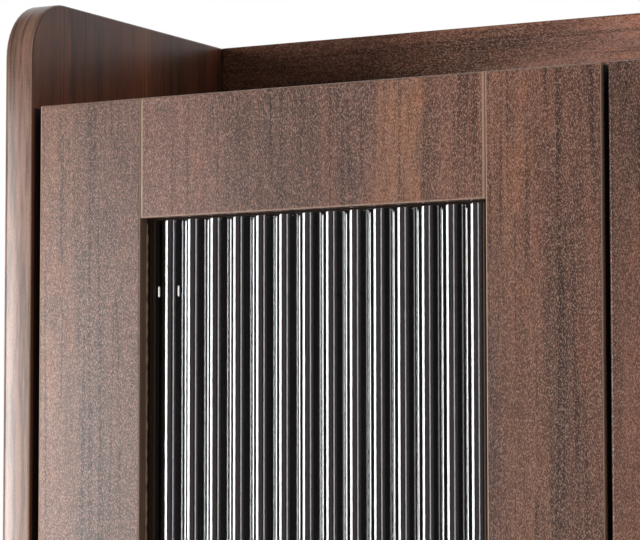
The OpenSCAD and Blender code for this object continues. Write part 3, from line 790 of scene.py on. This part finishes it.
def reeded_glass():
    """Clear glass, a little uneven in its gloss where rollers pressed it."""
    finish = Finish("fluted_glass", Base_Color=colour(150, 150, 152), Transmission_Weight=1.0,
                    IOR=1.5, Coat_Weight=1.0, Coat_IOR=2.0, Coat_Roughness=0.03)
    drift = finish.noise(finish.place((1, 1, 0.05)), 120, 1)
    return finish.feed(Roughness=0.04 + 0.02 * drift)


glass = reeded_glass()
SIDES = ((-1, "left"), (1, "right"))
for side, word in SIDES:
    pane = fluted_pane("fluted_pane_" + word, "upper_" + word + "_glass",
                       "upper_" + word + "_door", side, glass)
    print(pane.name, "faces:", len(pane.data.polygons))

# %% [markdown]
# The pane sits in a rebate behind the frame's lip. A dark ribbed gasket, drawn from soft plastic,
# lies between the two, and a line of sealant runs down its corner. The gasket's dark brown beside
# the pane is painted shade and reflection: it stands for the lip's shadow and reflection on the
# glass there. The sealant is pressed in by hand, so its thickness wavers. The gasket is one closed
# profile swept round the opening and mitred at the corners, wide beside the pane and narrow above
# it.

# %% Gasket and sealant
GASKET_SIDE, GASKET_TOP, GASKET_T = 0.0052, 0.0008, 0.0009
GASKET_OFF, GASKET_POINTS = 0.0001, 25
LIP_COVERS = 0.0075
SEALANT_R, SEALANT_IN, SEALANT_OUT, SEALANT_END = 0.0006, 0.0003, 0.0014, 0.002


def gasket(name, node, body, material):
    """From the lip, t = 0, to its free edge, t = 1, the strip stands T (0.6 + 0.4 cos 5 pi t) in
    front of the glass. Its corners are mitred, so each ring of points sits on a corner."""
    low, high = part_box(node)
    t = np.linspace(0, 1, GASKET_POINTS)
    back = low.y - GASKET_OFF
    front = back - GASKET_T * (0.6 + 0.4 * np.cos(5 * math.pi * t))
    across = np.concatenate([t, t[::-1]])
    y = np.concatenate([front, np.full(GASKET_POINTS, back)])
    x0, x1 = low.x + LIP_COVERS, high.x - LIP_COVERS
    z0, z1 = low.z + LIP_COVERS, high.z - LIP_COVERS
    corners = np.array([(x0, z0, 1, 1), (x1, z0, -1, 1), (x1, z1, -1, -1), (x0, z1, 1, -1)])
    x, z, right_way, up_way = corners.T[..., None]
    rings = np.stack([x + right_way * GASKET_SIDE * across, np.broadcast_to(y, (4, len(y))),
                      z + up_way * GASKET_TOP * across], -1)
    strip = mesh_object(name, rings.reshape(-1, 3), grid_faces(4, len(y), True, True))
    strip.data.materials.append(material)
    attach(strip, body)


def sealant(name, node, body, material):
    """Two upright beads, each a circle carried up. Its share of the radius is 0.85, plus 0.34
    times the product of a quick and a slow sine of the height, plus 0.24 times a quicker one. It
    is 0.15 at both ends."""
    low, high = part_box(node)
    inner, outer = low.x + LIP_COVERS, high.x - LIP_COVERS
    heights = np.linspace(low.z + LIP_COVERS + SEALANT_END, high.z - LIP_COVERS - SEALANT_END, 360)
    waver = 0.34 * np.sin(410 * heights) * np.sin(97 * heights) + 0.24 * np.sin(890 * heights + 1)
    shares = 0.85 + waver
    shares[[0, -1]] = 0.15
    turn = circle(12)
    y = low.y - SEALANT_OUT + SEALANT_R * np.sin(turn)
    for place, x in (("inner", inner + SEALANT_IN), ("outer", outer - SEALANT_IN)):
        bead = carried(name + "_" + place, x + SEALANT_R * np.cos(turn), y, heights, material, shares)
        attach(bead, body)


# The gasket's dark brown is painted shade and reflection of the lip beside the pane.
gasket_and_shade_finish = moulded("gasket_brown", (58, 38, 26), 0.45, 500)
sealant_finish = moulded("sealant_tan", (214, 178, 142), 0.3, 420)
for side, word in SIDES:
    node, body = "upper_" + word + "_glass", "upper_" + word + "_door"
    gasket("gasket_" + word, node, body, gasket_and_shade_finish)
    sealant("sealant_" + word, node, body, sealant_finish)
print("gaskets and sealant round 2 panes")

# %% [markdown]
# The gap beside a door is black. That black is painted shade: a thin ribbed strip of near-black
# stands on the side panel in the gap, and another runs down the inner edge of each door. The
# strip is thinner than the gap, so the door's corner clears it as it turns.

# %% Near-black strips of painted shade beside the doors
SHADE_STRIP_DEEP, SHADE_STRIP_T, SHADE_STRIP_SUNK, SHADE_STRIP_END = 0.0120, 0.0004, 0.0002, 0.001
SIDE_INNER, HALF_GAP, DOOR_SHADE_STRIP_BACK = 0.332, 0.00175, 0.0028
DOOR_FACES = {"upper": -0.0145, "lower": -0.1795}


def shade_strip(name, body, x, way, y, low, high, material):
    """A strip on the plane at x, standing in the gap as painted shade. At t along its depth it
    stands T (0.7 + 0.3 cos 6 pi t) off it.
    """
    t = np.linspace(0, 1, 37)
    stands = SHADE_STRIP_T * (0.7 + 0.3 * np.cos(6 * math.pi * t))
    xs = np.concatenate([x + way * stands, [x - way * SHADE_STRIP_SUNK] * 2])
    ys = y + SHADE_STRIP_DEEP * np.concatenate([t, [1, 0]])
    strip = carried(name, xs, ys, (low, high), material)
    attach(strip, body)


# The strips' near-black is painted shade for the dark gaps beside the doors.
rubber = moulded("seal_black", (14, 12, 11), 0.7, 800)
for stage, face in DOOR_FACES.items():
    for side, word in SIDES:
        door = stage + "_" + word + "_door"
        low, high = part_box(stage + "_" + word + "_stiles")
        low, high = low.z + SHADE_STRIP_END, high.z - SHADE_STRIP_END
        shade_strip(stage + "_side_shade_strip_" + word, "cabinet", side * SIDE_INNER, -side, face, low, high,
             rubber)
        shade_strip(stage + "_door_seal_" + word, door, side * HALF_GAP, -side, face + DOOR_SHADE_STRIP_BACK,
             low, high, rubber)
print("dust seals: 8")

# %% [markdown]
# Two small white pads sit on the flutes of each pane near the hinge side, where two bright marks
# show through the glass. They have a moulded white finish and rounded ends, so each is an oval
# carried up, drawn in at both ends.

# %% White pads
WHITE_PAD_H, WHITE_PAD_Z, WHITE_PAD_Y = 0.0057, 1.6386, -0.0069
WHITE_PAD_X = {"outer": 0.2582, "inner": 0.2463}
WHITE_PAD_WIDE, WHITE_PAD_DEEP, WHITE_PAD_ROUND = 0.0011, 0.0008, 0.0006


def white_pad(name, body, x, material):
    """An oval carried up. At a distance d from an end its share is the square root of
    d / WHITE_PAD_ROUND, once that is kept between 0.05 and 1."""
    heights = WHITE_PAD_Z + np.linspace(-WHITE_PAD_H / 2, WHITE_PAD_H / 2, 25)
    end = np.minimum(heights - heights[0], heights[-1] - heights)
    shares = np.sqrt(np.clip(end / WHITE_PAD_ROUND, 0.05, 1))
    turn = circle(16)
    pad = carried(name, x + WHITE_PAD_WIDE / 2 * np.cos(turn), WHITE_PAD_Y + WHITE_PAD_DEEP / 2 * np.sin(turn),
                  heights, material, shares)
    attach(pad, body)


# White pads in place of the bright marks that show through the flutes.
white_pad_finish = moulded("spacer_white", (236, 234, 230), 0.4, 700)
for side, word in SIDES:
    for place, x in WHITE_PAD_X.items():
        white_pad("spacer_" + word + "_" + place, "upper_" + word + "_door", side * x, white_pad_finish)
print("spacers: 4")

# %% [markdown]
# Every finer piece stays inside the packed outline.
